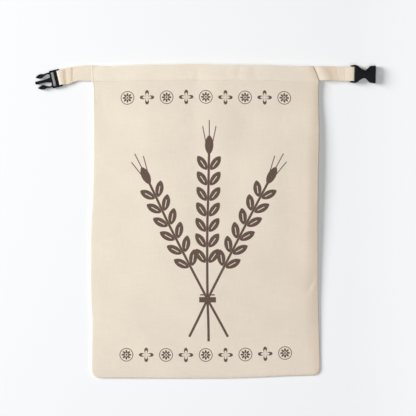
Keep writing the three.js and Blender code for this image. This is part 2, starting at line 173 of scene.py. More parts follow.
def remap(tree, value, low, high, newLow=0.0, newHigh=1.0):
    node = tree.nodes.new("ShaderNodeMapRange")
    for entry, given in zip(node.inputs, (value, low, high, newLow, newHigh)):
        feed(tree, entry, given)
    return node.outputs["Result"]


def stretch(tree, vector, factors):
    node = tree.nodes.new("ShaderNodeVectorMath")
    node.operation = "MULTIPLY"
    feed(tree, node.inputs[0], vector)
    node.inputs[1].default_value = factors
    return node.outputs[0]


def noiseValue(tree, vector, scale, detail=2.0):
    node = tree.nodes.new("ShaderNodeTexNoise")
    feed(tree, node.inputs["Vector"], vector)
    node.inputs["Scale"].default_value = scale
    node.inputs["Detail"].default_value = detail
    return node.outputs[0]


def splitVector(tree, vector):
    node = tree.nodes.new("ShaderNodeSeparateXYZ")
    tree.links.new(vector, node.inputs[0])
    return node.outputs["X"], node.outputs["Y"]


# Moves the measuring frame to a new origin and heading
def placeFrame(tree, vector, origin, turn=0.0):
    node = tree.nodes.new("ShaderNodeMapping")
    node.vector_type = "TEXTURE"
    tree.links.new(vector, node.inputs["Vector"])
    node.inputs["Location"].default_value = (origin[0], origin[1], 0.0)
    node.inputs["Rotation"].default_value = (0.0, 0.0, math.radians(turn))
    return node.outputs["Vector"]


def blendColour(tree, share, first, second, mode="MIX"):
    node = tree.nodes.new("ShaderNodeMix")
    node.data_type = "RGBA"
    node.blend_type = mode
    feed(tree, node.inputs["Factor"], share)
    feed(tree, node.inputs["A"], first)
    feed(tree, node.inputs["B"], second)
    return node.outputs["Result"]


def tinted(tree, share, colour, tint):
    return blendColour(tree, share, colour, tint, "MULTIPLY")


# Node group whose sockets are floats, apart from the one called Vector
def newGroup(name, inputs, outputs):
    group = bpy.data.node_groups.new(name, "ShaderNodeTree")
    for way, labels in (("INPUT", inputs), ("OUTPUT", outputs)):
        for label in labels:
            kind = "NodeSocketVector" if label == "Vector" else "NodeSocketFloat"
            group.interface.new_socket(label, in_out=way, socket_type=kind)
    start = group.nodes.new("NodeGroupInput")
    end = group.nodes.new("NodeGroupOutput")
    return group, start.outputs, end.inputs


def useGroup(tree, group, values):
    node = tree.nodes.new("ShaderNodeGroup")
    node.node_tree = group
    for label, value in values.items():
        feed(tree, node.inputs[label], value)
    return node.outputs


def newMaterial(name, roughness):
    material = bpy.data.materials.new(name)
    material.use_nodes = True
    tree = material.node_tree
    surface = tree.nodes["Principled BSDF"]
    surface.inputs["Roughness"].default_value = roughness
    return material, tree, surface.inputs


def addBump(tree, sockets, height, strength, distance):
    node = tree.nodes.new("ShaderNodeBump")
    node.inputs["Strength"].default_value = strength
    node.inputs["Distance"].default_value = distance * toMetres
    tree.links.new(height, node.inputs["Height"])
    tree.links.new(node.outputs["Normal"], sockets["Normal"])


# Cotton canvas
canvasLook = {
    "colour": (0.79, 0.700, 0.582, 1.0),
    "fleckColour": (0.40, 0.29, 0.19, 1.0),
    "fleckShare": 0.55,
    "fleckScale": 0.42,
    "fleckRange": (0.80, 0.86),
    "yarn": 0.62,
    "yarnStray": 0.9,
    "strayScale": 0.09,
    "slubFine": 1.1,
    "slubLong": 0.05,
    "slubHeight": 0.8,
    "slubTone": 0.35,
    "cloudScale": 0.016,
    "cloudTone": 0.6,
    "toneRange": (0.35, 0.95),
    "toneSpread": 0.08,
    "doubledAndLitLift": 0.045,
    "weaveDepth": 0.16,
    "weaveStrength": 0.6,
    "roughness": 0.92,
}


# Plain weave with uneven yarns; the vector is in millimetres of flat cloth
def weaveGroup():
    group, given, result = newGroup("canvasWeave", ["Vector", "Yarn"], ["Height", "Tone", "Fleck"])
    vector = given["Vector"]
    x, y = splitVector(group, vector)
    stray = times(group, noiseValue(group, vector, canvasLook["strayScale"]), canvasLook["yarnStray"])
    turn = calc(group, "DIVIDE", math.pi, given["Yarn"])
    warp = calc(group, "SINE", times(group, plus(group, x, stray), turn))
    weft = calc(group, "SINE", times(group, plus(group, y, stray), turn))
    over = calc(group, "GREATER_THAN", times(group, warp, weft), 0.0)
    warpPart = times(group, calc(group, "ABSOLUTE", warp), over)
    weftPart = times(group, calc(group, "ABSOLUTE", weft), minus(group, 1.0, over))
    fine = canvasLook["slubFine"]
    long = canvasLook["slubLong"]
    slubUp = noiseValue(group, stretch(group, vector, (fine, long, 1.0)), 1.0, detail=3.0)
    slubAcross = noiseValue(group, stretch(group, vector, (long, fine, 1.0)), 1.0, detail=3.0)
    slub = plus(group, slubUp, slubAcross)
    weave = plus(group, warpPart, weftPart)
    height = plus(group, weave, times(group, slub, canvasLook["slubHeight"]))
    cloud = noiseValue(group, vector, canvasLook["cloudScale"], detail=3.0)
    cloudPart = times(group, cloud, canvasLook["cloudTone"])
    tone = plus(group, times(group, slub, canvasLook["slubTone"]), cloudPart)
    speck = noiseValue(group, vector, canvasLook["fleckScale"], detail=1.0)
    fleck = remap(group, speck, *canvasLook["fleckRange"])
    for value, label in ((height, "Height"), (tone, "Tone"), (fleck, "Fleck")):
        group.links.new(value, result[label])
    return group


canvasWeave = weaveGroup()


def clothVector(tree):
    uv = tree.nodes.new("ShaderNodeUVMap")
    uv.uv_map = "cloth"
    return stretch(tree, uv.outputs["UV"], (clothSpan, clothSpan, 1.0))


# Bare cloth colour and the weave it comes from; cloth that lies double is paler, partly a painted highlight
# where the doubled hem and straps lie flat to the light
def clothColour(tree, vector, layered):
    weave = useGroup(tree, canvasWeave, {"Vector": vector, "Yarn": canvasLook["yarn"]})
    darkest = 1.0 - canvasLook["toneSpread"]
    palest = 1.0 + canvasLook["toneSpread"]
    tone = remap(tree, weave["Tone"], *canvasLook["toneRange"], darkest, palest)
    paler = plus(tree, times(tree, layered, canvasLook["doubledAndLitLift"]), 1.0)
    tone = times(tree, tone, paler)
    grey = tree.nodes.new("ShaderNodeCombineColor")
    for socket in grey.inputs[:3]:
        tree.links.new(tone, socket)
    toned = tinted(tree, 1.0, canvasLook["colour"], grey.outputs[0])
    fleck = times(tree, weave["Fleck"], canvasLook["fleckShare"])
    return blendColour(tree, fleck, toned, canvasLook["fleckColour"]), weave


def finishCanvas(tree, sockets, colour, weave):
    tree.links.new(colour, sockets["Base Color"])
    addBump(tree, sockets, weave["Height"], canvasLook["weaveStrength"], canvasLook["weaveDepth"])


def bareCanvas():
    material, tree, sockets = newMaterial("bareCanvas", canvasLook["roughness"])
    colour, weave = clothColour(tree, clothVector(tree), 0.0)
    finishCanvas(tree, sockets, colour, weave)
    return material


# Printed design: a sheaf of three ears with a row of rosettes above and below it
printLook = {
    "ink": (0.099, 0.054, 0.039, 1.0),
    "inkCover": 0.985,
    "thinCover": 0.86,
    "thinScale": 0.8,
    "thinRange": (0.25, 0.5),
    "edgeBlur": 0.18,
    "centre": (157.0, 216.7),
    "rowHeights": (164.0, -178.0),
}
sheafLook = {
    "tie": (4.0, -104.0),
    "sideTurn": 27.0,
    "earStart": 48.0,
    "grains": 7.0,
    "sideGrains": 6.0,
    "bands": (((-4.2, 3.0), 11.0), ((5.0, 6.8), 9.5)),  # both ends and half width
}
earLook = {
    "grainPitch": 20.5,
    "grainLean": 35.0,
    "grainRise": 0.4,
    "grainOut": 2.3,
    "grainLong": 22.4,
    "grainHalf": 5.6,
    "veinHalf": 0.5,
    "vein": (5.0, 15.0),
    "crownLong": 26.0,
    "crownHalf": 5.8,
    "leafPower": 0.7,
    "leafTrim": 0.2,
    "awnSpread": 0.2,
    "awnSides": (0.6, 1.9),
    "awn": (3.0, 38.0),
    "spikeHalf": 0.65,
    "spike": (24.0, 46.0),
    "stemHalf": 1.6,
    "stemFoot": -104.0,
    "stemTop": 2.0,
}
rosetteLook = {
    "pitch": 26.0,
    "perSide": 4,
    "petals": 8,
    "petalFoot": 1.6,
    "petalLong": 4.9,
    "petalPower": 0.6,
    "eye": (1.3, 2.2),
    "ring": (8.0, 9.0),
    "leaves": 4,
    "leafLong": 9.6,
    "leafPower": 1.1,
    "hollowShare": 0.6,
    "hollowCover": 0.92,
}


# One where a distance is above zero, with a soft edge
def inside(tree, distance):
    return remap(tree, distance, -printLook["edgeBlur"], printLook["edgeBlur"])


def under(tree, value, high):
    return inside(tree, minus(tree, high, value))


def between(tree, value, low, high):
    above = minus(tree, value, low)
    below = minus(tree, high, value)
    return inside(tree, calc(tree, "MINIMUM", above, below))


# One in a strip, by half its width and its two ends
def strip(tree, aside, half, along, ends):
    return times(tree, under(tree, aside, half), between(tree, along, *ends))


# Leaf shape along an axis; share runs from its root to its tip
def leafMask(tree, share, aside, halfWidth):
    kept = calc(tree, "MULTIPLY", share, 1.0, clamp=True)
    rounded = calc(tree, "POWER", times(tree, kept, minus(tree, 1.0, kept)), earLook["leafPower"])
    fullest = 0.25 ** earLook["leafPower"]  # at half its length
    width = times(tree, rounded, halfWidth / fullest)
    return inside(tree, minus(tree, minus(tree, width, aside), earLook["leafTrim"]))


# Ear of wheat that grows along +Y, with its stem below the origin
def earGroup():
    group, given, result = newGroup("wheatEar", ["Vector", "Grains"], ["Ink"])
    pitch = earLook["grainPitch"]
    cosLean = math.cos(math.radians(earLook["grainLean"]))
    sinLean = math.sin(math.radians(earLook["grainLean"]))
    x, y = splitVector(group, given["Vector"])
    side = calc(group, "ABSOLUTE", x)
    top = times(group, given["Grains"], pitch)
    above = minus(group, y, top)
    rise = minus(group, calc(group, "FLOORED_MODULO", y, pitch), earLook["grainRise"])
    out = minus(group, side, earLook["grainOut"])
    along = plus(group, times(group, rise, cosLean), times(group, out, sinLean))
    aside = minus(group, times(group, out, cosLean), times(group, rise, sinLean))
    aside = calc(group, "ABSOLUTE", aside)
    share = calc(group, "DIVIDE", along, earLook["grainLong"])
    grain = leafMask(group, share, aside, earLook["grainHalf"])
    vein = strip(group, aside, earLook["veinHalf"], along, earLook["vein"])
    grain = calc(group, "SUBTRACT", grain, vein, clamp=True)
    grain = times(group, grain, between(group, y, 0.0, top))
    share = calc(group, "DIVIDE", above, earLook["crownLong"])
    crown = leafMask(group, share, side, earLook["crownHalf"])
    crown = times(group, crown, calc(group, "GREATER_THAN", above, 0.0))
    awnSide = minus(group, side, times(group, above, earLook["awnSpread"]))
    awn = times(group, between(group, awnSide, *earLook["awnSides"]), between(group, above, *earLook["awn"]))
    spike = strip(group, side, earLook["spikeHalf"], above, earLook["spike"])
    stemTop = plus(group, top, earLook["stemTop"])
    stem = strip(group, side, earLook["stemHalf"], y, (earLook["stemFoot"], stemTop))
    group.links.new(largest(group, [grain, crown, awn, spike, stem]), result["Ink"])
    return group


# Three ears bound together; the origin is at the tie
def sheafGroup(ear):
    group, given, result = newGroup("wheatSheaf", ["Vector"], ["Ink"])
    turn = sheafLook["sideTurn"]
    masks = []
    for angle, grains in ((turn, "sideGrains"), (0.0, "grains"), (-turn, "sideGrains")):
        turned = placeFrame(group, given["Vector"], (0.0, 0.0), angle)
        raised = placeFrame(group, turned, (0.0, sheafLook["earStart"]))
        masks.append(useGroup(group, ear, {"Vector": raised, "Grains": sheafLook[grains]})["Ink"])
    x, y = splitVector(group, given["Vector"])
    side = calc(group, "ABSOLUTE", x)
    for ends, half in sheafLook["bands"]:
        masks.append(strip(group, side, half, y, ends))
    group.links.new(largest(group, masks), result["Ink"])
    return group


# Share of its full length that a flower's edge has at an angle
def petalShare(tree, angle, petals, power):
    wave = calc(tree, "COSINE", times(tree, angle, petals / 2.0))
    return calc(tree, "POWER", calc(tree, "ABSOLUTE", wave), power)


# Row of rosettes along X, a daisy in a ring and a four-leaf by turns
def rosetteGroup():
    group, given, result = newGroup("rosetteRow", ["Vector"], ["Ink"])
    pitch = rosetteLook["pitch"]
    x, y = splitVector(group, given["Vector"])
    place = calc(group, "ROUND", calc(group, "DIVIDE", x, pitch))
    local = minus(group, x, times(group, place, pitch))
    radius = calc(group, "SQRT", plus(group, times(group, local, local), times(group, y, y)))
    angle = calc(group, "ARCTAN2", y, local)
    petal = petalShare(group, angle, rosetteLook["petals"], rosetteLook["petalPower"])
    petalEdge = plus(group, times(group, petal, rosetteLook["petalLong"]), rosetteLook["petalFoot"])
    eye = between(group, radius, *rosetteLook["eye"])
    daisy = calc(group, "SUBTRACT", under(group, radius, petalEdge), eye, clamp=True)
    daisy = largest(group, [daisy, between(group, radius, *rosetteLook["ring"])])
    leaf = petalShare(group, angle, rosetteLook["leaves"], rosetteLook["leafPower"])
    leafEdge = times(group, leaf, rosetteLook["leafLong"])
    hollow = under(group, radius, times(group, leafEdge, rosetteLook["hollowShare"]))
    hollow = times(group, hollow, rosetteLook["hollowCover"])
    fourLeaf = minus(group, under(group, radius, leafEdge), hollow)
    odd = calc(group, "FLOORED_MODULO", place, 2.0)
    chosen = plus(group, times(group, fourLeaf, odd), times(group, daisy, minus(group, 1.0, odd)))
    inRow = under(group, calc(group, "ABSOLUTE", place), rosetteLook["perSide"] + 0.5)
    group.links.new(times(group, chosen, inRow), result["Ink"])
    return group


# Where the design lies on the cloth
def printMask(tree, vector):
    bagFrame = placeFrame(tree, vector, printLook["centre"])
    sheafFrame = placeFrame(tree, bagFrame, sheafLook["tie"])
    inks = [useGroup(tree, sheafGroup(earGroup()), {"Vector": sheafFrame})["Ink"]]
    rosettes = rosetteGroup()
    for height in printLook["rowHeights"]:
        rowFrame = placeFrame(tree, bagFrame, (0.0, height))
        inks.append(useGroup(tree, rosettes, {"Vector": rowFrame})["Ink"])
    return largest(tree, inks)


# How well the ink covers; it is thinner where the yarns took less of it
def inkCover(tree, vector):
    grain = noiseValue(tree, vector, printLook["thinScale"], detail=3.0)
    cover = remap(tree, grain, *printLook["thinRange"], printLook["thinCover"], 1.0)
    return times(tree, cover, printLook["inkCover"])


# Tints of the printed front, painted warm shade along the right rim and painted shade where it laps the left
# strap; ranges are in millimetres from the corner of its flat cut
frontLook = {
    "hemFrom": 403.0,
    "hemBlur": 0.4,
    # painted warm shade of the shaded right rim
    "paintedRimShadeTint": (1.02, 0.965, 0.925, 1.0),
    "paintedRimShadeRange": (284.0, 304.0),
    # painted shade over the lit rim where the cloth laps the left strap
    "paintedSeamShadeTint": (0.90, 0.915, 0.92, 1.0),
    "paintedSeamShadeRange": (10.8, 9.2),
}


# Printed cloth: paler over the hem, partly a painted highlight; painted warm shade along the right rim and
# painted shade where it laps the left strap
def printedCanvas():
    material, tree, sockets = newMaterial("printedCanvas", canvasLook["roughness"])
    vector = clothVector(tree)
    x, y = splitVector(tree, vector)
    hemFrom = frontLook["hemFrom"]
    inHem = remap(tree, y, hemFrom - frontLook["hemBlur"], hemFrom + frontLook["hemBlur"])
    paintedRimShadeMask = remap(tree, x, *frontLook["paintedRimShadeRange"])
    paintedSeamShadeMask = remap(tree, x, *frontLook["paintedSeamShadeRange"])
    colour, weave = clothColour(tree, vector, inHem)
    # painted warm shade along the right rim
    colour = tinted(tree, paintedRimShadeMask, colour, frontLook["paintedRimShadeTint"])
    # painted shade where the cloth laps the left strap
    colour = tinted(tree, times(tree, paintedSeamShadeMask, inHem), colour, frontLook["paintedSeamShadeTint"])
    ink = times(tree, printMask(tree, vector), inkCover(tree, vector))
    finishCanvas(tree, sockets, blendColour(tree, ink, colour, printLook["ink"]), weave)
    return material


plainCloth = bareCanvas()
printedCloth = printedCanvas()
print("canvas materials ready")

# The bag itself: two cloths that meet edge to edge
bag = {
    "width": 298.0,
    "length": 416.0,
    "bottomY": -208.7,
    "cornerRadius": 9.0,
    "hemDepth": 21.0,
    "hemStart": 9.5,
    "hemShifts": (-4.0, -2.6, -1.8, -1.2, -0.6, 0.0, 0.6, 1.2, 1.8, 2.6, 4.0),
    "hemLaid": (2.0, 6.0, 11.0, 16.0, 19.5, 20.6),
    "foldRadius": 0.36,
    "foldReach": 0.96,
    "foldTurn": 36.0,
    "lowHeight": 2.5,
    "backHeight": 0.6,
    "seamHalf": 0.55,
    "strapHalf": 0.95,
    "seamLip": 0.15,
    "strapLip": 0.1,
    "seamEase": 8.0,
    "leftShoulder": 4.0,
    "bottomShoulder": 5.0,
    "backShoulder": 6.0,
    "fullness": 2.2,
    "rightSideFrom": 0.35,
    "thickness": 0.6,
    "outerShare": 0.333,
    "frontStep": 2.3,
    "backStep": 6.0,
    "rimTurn": 15.0,
    "rightRimTurn": 7.5,
    "grooveDepth": 0.22,
    "grooveWide": 1.0,
    "unevenness": 0.22,
    "unevenAcross": 0.035,
    "unevenUp": 0.022,
    "unevenLayer": 4.0,
}

# Height of the front by share of the width
frontAcross = [(0.00, 2.5), (0.03, 3.0), (0.08, 3.8), (0.25, 6.2), (0.50, 8.4), (0.75, 9.2), (1.00, 9.6)]

# By share of the length: how much of that height the left and the right reach, and how wide the slope
# at the right seam is
frontUp = [
    (0.00, 0.00, 0.00, 10.0), (0.05, 0.18, 0.05, 16.0), (0.12, 0.42, 0.14, 20.0), (0.25, 0.74, 0.42, 20.0),
    (0.38, 0.90, 0.62, 18.0), (0.52, 1.00, 0.86, 16.0), (0.68, 1.00, 0.95, 15.0), (0.80, 0.98, 0.83, 14.0),
    (0.87, 0.94, 0.65, 12.0), (0.91, 0.92, 0.57, 10.0), (0.955, 0.90, 0.66, 9.0), (1.00, 0.86, 0.72, 9.0),
]

# Height of the side seams by share of the length
leftSeam = [(0.00, 1.55), (0.06, 1.75), (0.84, 1.80), (0.93, 2.4), (1.00, 2.4)]
rightSeam = [
    (0.00, 0.95), (0.06, 1.00), (0.12, 1.55), (0.25, 2.6), (0.38, 4.2), (0.52, 6.1), (0.66, 7.2),
    (0.79, 6.2), (0.87, 5.0), (0.91, 4.7), (0.945, 5.1), (1.00, 5.2),
]

# How far the edges stray outwards, by share of the side from the bottom or from the left
leftEdge = [
    (0.00, 3.1), (0.04, 3.0), (0.09, 2.7), (0.18, 2.5), (0.25, 4.0), (0.41, 4.5),
    (0.50, 3.8), (0.57, 1.9), (0.63, 0.9), (0.79, 0.4), (0.89, 0.7), (0.93, 0.8),
    (0.95, 2.2), (0.97, 2.8), (1.00, 2.9),
]
rightEdge = [
    (0.00, 3.4), (0.04, 3.4), (0.09, 2.7), (0.18, 1.5), (0.25, 0.9), (0.41, 0.5),
    (0.63, 0.6), (0.79, 2.1), (0.89, 1.1), (0.93, 1.1), (0.95, 1.7), (0.97, -0.8), (1.00, -5.8),
]
bottomEdge = [(0.00, -0.6), (0.05, -1.2), (0.60, -1.6), (0.76, 0.0), (0.86, 1.3), (0.93, 1.9), (1.00, 2.6)]
mouthEdge = [
    (0.00, -0.4), (0.05, -0.5), (0.12, -0.3), (0.23, 0.7), (0.34, 0.8), (0.47, 1.4),
    (0.60, 0.5), (0.76, 0.3), (0.86, -0.6), (0.93, -1.5), (1.00, -1.2),
]

# Folds and creases of the front: place, turn, half length, half width and height
frontFolds = [
    (-13.0, 140.0, 92.0, 95.0, 15.0, -0.6), (23.0, 135.0, 88.0, 90.0, 22.0, 0.15),
    (-62.0, 105.0, 90.0, 120.0, 32.0, 0.5), (52.0, 120.0, 80.0, 95.0, 14.0, -0.2),
    (84.0, 60.0, 97.0, 90.0, 20.0, 0.5), (26.0, -30.0, 60.0, 60.0, 22.0, 0.7),
    (-70.0, -120.0, 20.0, 70.0, 26.0, 0.6), (72.0, -135.0, 100.0, 55.0, 18.0, -0.5),
    (138.0, -86.0, 60.0, 13.0, 5.0, -0.5), (134.0, 60.0, 91.0, 90.0, 12.0, 0.35),
    (-147.0, 196.0, 90.0, 24.0, 16.0, 0.75), (165.0, 182.0, 90.0, 40.0, 38.0, -0.6),
]
frontCreases = [
    (-11.0, 195.0, 90.0, 11.0, 3.2, -0.36), (-18.0, 192.0, 84.0, 9.0, 3.0, 0.20),
    (29.0, 199.0, 96.0, 9.0, 3.0, -0.28), (44.0, 196.0, 82.0, 12.0, 3.4, -0.30),
    (66.0, 197.0, 100.0, 10.0, 3.6, -0.26), (56.0, 198.0, 90.0, 9.0, 3.2, 0.20),
    (142.2, -83.5, 62.0, 13.0, 2.2, -1.50), (146.6, -85.5, 62.0, 12.0, 2.4, 0.50),
    (136.0, -130.0, 84.0, 30.0, 3.0, 0.20), (131.0, 20.0, 91.0, 60.0, 3.5, -0.14),
    (-139.0, 165.0, 96.0, 16.0, 3.0, -0.28), (-128.0, -196.0, 8.0, 14.0, 2.4, -0.30),
    (144.5, 197.0, 114.0, 10.0, 2.6, -0.12),
]


def creaseHeight(creases, x, y):
    height = 0.0
    for atX, atY, turn, halfLong, halfWide, rise in creases:
        cos = math.cos(math.radians(turn))
        sin = math.sin(math.radians(turn))
        along = ((x - atX) * cos + (y - atY) * sin) / halfLong
        aside = ((y - atY) * cos - (x - atX) * sin) / halfWide
        height += rise * math.exp(-along * along - aside * aside)
    return height


def foldHeight(x, y):
    uneven = noise.noise((x * bag["unevenAcross"], y * bag["unevenUp"], bag["unevenLayer"]))
    return creaseHeight(frontFolds + frontCreases, x, y) + uneven * bag["unevenness"]


# Rise of the cloth from a seam, from zero to one, in a rounding
def shoulderRise(inset, shoulder):
    rest = 1.0 - min(max(inset, 0.0) / shoulder, 1.0)
    return (1.0 - rest ** bag["fullness"]) ** (1.0 / bag["fullness"])


# The same where the cloth leaves the seam at a slope
def slopeRise(inset, slope):
    rest = 1.0 - min(max(inset, 0.0) / slope, 1.0)
    return 1.0 - rest * rest


# Plan position of a point of the flat cloth, with rounded bottom corners
def planPoint(across, up):
    radius = bag["cornerRadius"]
    fromSide = min(across, bag["width"] - across)
    fromBottom = up
    if fromSide < radius and fromBottom < radius:
        toSide = 1.0 - fromSide / radius
        toBottom = 1.0 - fromBottom / radius
        fromSide = radius * (1.0 - toSide * math.sqrt(1.0 - toBottom * toBottom / 2.0))
        fromBottom = radius * (1.0 - toBottom * math.sqrt(1.0 - toSide * toSide / 2.0))
    fromLeft = fromSide if across < bag["width"] / 2.0 else bag["width"] - fromSide
    shareAcross = fromLeft / bag["width"]
    shareUp = fromBottom / bag["length"]
    left = -bag["width"] / 2.0 - fromTable(leftEdge, shareUp)
    right = bag["width"] / 2.0 + fromTable(rightEdge, shareUp)
    bottom = bag["bottomY"] + fromTable(bottomEdge, shareAcross)
    mouth = bag["bottomY"] + bag["length"] + fromTable(mouthEdge, shareAcross)
    return Vector((mix(left, right, shareAcross), mix(bottom, mouth, shareUp)))


# One along the hem, where a strap is caught in the side seam, and zero below it
def strapCaught(up):
    hemLine = bag["length"] - bag["hemDepth"]
    return easeStep(up, hemLine - bag["seamEase"], hemLine)


# Half of the slit along the side seam
def seamHalf(up):
    return mix(bag["seamHalf"], bag["strapHalf"], strapCaught(up))


# Lip of the cloth over the slit
def seamLip(up):
    return mix(bag["seamLip"], bag["strapLip"], strapCaught(up))


def seamHeight(across, up):
    share = up / bag["length"]
    return mix(fromTable(leftSeam, share), fromTable(rightSeam, share), across / bag["width"])


def frontHeight(across, up):
    plan = planPoint(across, up)
    shareAcross = across / bag["width"]
    shareUp = up / bag["length"]
    toRight = easeStep(shareAcross, bag["rightSideFrom"], 1.0)
    reached = mix(fromTable(frontUp, shareUp), fromTable(frontUp, shareUp, 2), toRight)
    rightSlope = fromTable(frontUp, shareUp, 3)
    rise = slopeRise(across, bag["leftShoulder"]) * slopeRise(bag["width"] - across, rightSlope)
    rise *= slopeRise(up, bag["bottomShoulder"])
    fromStitch = (up - bag["length"] + bag["hemDepth"]) / bag["grooveWide"]
    groove = bag["grooveDepth"] * math.exp(-fromStitch * fromStitch)
    full = fromTable(frontAcross, shareAcross)
    top = mix(bag["lowHeight"], full, reached) + foldHeight(plan.x, plan.y) * reached - groove
    return mix(seamHeight(across, up) + seamHalf(up) + seamLip(up), top, rise)


def backHeight(across, up):
    sides = min(across, bag["width"] - across)
    rise = shoulderRise(sides, bag["backShoulder"]) * shoulderRise(up, bag["backShoulder"])
    lip = max(seamHeight(across, up) - seamHalf(up) - seamLip(up), bag["backHeight"])
    return mix(lip, bag["backHeight"], rise)


# Seam allowance, turned in between the two cloths: flat length, way in and share of the lip left
allowance = [(7.8, 7.0, 0.0), (4.3, 3.5, 0.0), (2.3, 1.5, 0.0), (1.2, 0.6, 0.05), (0.6, 0.16, 0.38)]


# Stations from one seam inwards; the allowance is counted below zero
def rimStations(shoulder, turn):
    insets = [shoulder * (1.0 - math.cos(math.radians(angle))) for angle in spread(0.0, 90.0, turn)]
    return [-row[0] for row in allowance] + insets


def wayIn(station):
    for flat, way, lip in allowance:
        if abs(station + flat) < sameSpot:
            return way, lip
    return 0.0, 1.0


# Stations of a cloth's grid; shoulders are those at the left, at the right and at the bottom
def panelStations(shoulders, step):
    left, right, bottom = shoulders
    hemLine = bag["length"] - bag["hemDepth"]
    hem = [hemLine + shift for shift in bag["hemShifts"]]
    columns = rimStations(left, bag["rimTurn"]) + spread(left, bag["width"] - right, step)[1:-1]
    columns += [bag["width"] - inset for inset in reversed(rimStations(right, bag["rightRimTurn"]))]
    rows = rimStations(bottom, bag["rimTurn"]) + spread(bottom, hem[0], step)[1:-1] + hem
    rows += spread(hem[-1], bag["length"] - bag["foldReach"], step)[1:]
    return columns, rows


# Place of a point of a cloth, with the allowance turned in; upSign is 1 for the front and -1 for the back
def panelPoint(heightAt, across, up, upSign):
    width = bag["width"]
    sideWay, sideLip = wayIn(min(across, width - across))
    upWay, upLip = wayIn(up)
    keptAcross = min(max(across, 0.0), width)
    keptUp = max(up, 0.0)
    plan = planPoint(keptAcross, keptUp)
    lip = seamLip(up) * upSign * (1.0 - min(sideLip, upLip))
    inward = sideWay if across < width / 2.0 else -sideWay
    return plan.x + inward, plan.y + upWay, heightAt(keptAcross, keptUp) - lip


def clothPanel(name, heightAt, shoulders, step, upSign, materials):
    columns, rows = panelStations(shoulders, step)
    bm = stationGrid(columns, rows)
    flat = bm.verts.layers.float_vector.new("flat")
    insets = bm.verts.layers.float.new("inset")
    for vert in bm.verts:
        across = columns[round(vert.co.x)]
        up = rows[round(vert.co.y)]
        sides = min(across, bag["width"] - across)
        if up == rows[-1] and sides <= bag["hemStart"]:
            up = bag["length"]
        vert.co = panelPoint(heightAt, across, up, upSign)
        vert[flat] = (across, up, 0.0)
        vert[insets] = sides
    if upSign < 0.0:
        bmesh.ops.reverse_faces(bm, faces=bm.faces)
    foldHem(bm, flat, insets, upSign)
    mapFlat(bm, flat, clothMargin)
    piece = makePiece(name, bm, materials)
    shell = thicken(piece, bag["thickness"], bag["outerShare"])
    shell.material_offset = len(materials) - 1
    shell.material_offset_rim = len(materials) - 1
    return piece


# Way of the hem's edge, outwards and down, round its fold and back inside
def hemPath():
    radius = bag["foldRadius"]
    path = []
    for angle in spread(bag["foldTurn"], 180.0, bag["foldTurn"]):
        turn = math.radians(angle)
        path.append((radius * math.sin(turn), radius * (1.0 - math.cos(turn))))
    return path + [(-way, radius * 2.0) for way in bag["hemLaid"]]


# Folds the mouth edge over to the inside and lays it down as far as the stitch line
def foldHem(bm, flat, insets, upSign):
    mouth = bag["length"] - bag["foldReach"] - sameSpot
    edges = []
    for edge in bm.edges:
        atMouth = all(vert[flat].y > mouth and vert[insets] > bag["hemStart"] for vert in edge.verts)
        if edge.is_boundary and atMouth:
            edges.append(edge)
    before = (0.0, 0.0)
    for out, depth in hemPath():
        grown = bmesh.ops.extrude_edge_only(bm, edges=edges)["geom"]
        moved = {item for item in grown if isinstance(item, bmesh.types.BMVert)}
        made = [item for item in grown if isinstance(item, bmesh.types.BMEdge)]
        edges = [edge for edge in made if moved.issuperset(edge.verts)]
        shift = Vector((0.0, out - before[0], -upSign * (depth - before[1])))
        for vert in moved:
            vert.co += shift
            vert[flat] = vert[flat] + Vector((0.0, shift.length, 0.0))
        before = (out, depth)


rightShoulder = max(row[3] for row in frontUp)
frontShoulders = (bag["leftShoulder"], rightShoulder, bag["bottomShoulder"])
frontCloths = [printedCloth, plainCloth]
frontCloth = clothPanel("frontCloth", frontHeight, frontShoulders, bag["frontStep"], 1.0, frontCloths)
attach(frontCloth, "root")
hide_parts("front_panel")
backShoulders = [bag["backShoulder"]] * 3
backCloth = clothPanel("backCloth", backHeight, backShoulders, bag["backStep"], -1.0, [plainCloth])
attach(backCloth, "root")
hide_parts("back_panel")
print("bag cloths laid")

# Strap tabs, folded round the bars of the buckle and sewn to themselves
strap = {
    "width": 19.6,
    "thickness": 0.9,
    "layerGap": 0.4,
    "barGap": 0.3,
    "barRadius": 1.2,
    "loopSquare": 0.65,
    "loopTurn": 15.0,
    "tailShares": (0.35, 0.675, 1.0),
    "curveSteps": 4,
    "rowDepth": 0.22,
    "rowWide": 1.5,
    "edgeCalm": 0.3,
    "rounding": 0.45,
    "roundSegments": 3,
    "roundAngle": 60.0,
    "acrossStep": 1.3,
    # share of the paler doubled cloth on the straps, partly a painted highlight
    "layered": 0.4,
    "paintedCreaseShadeTint": (1.10, 1.035, 0.96, 1.0),
}

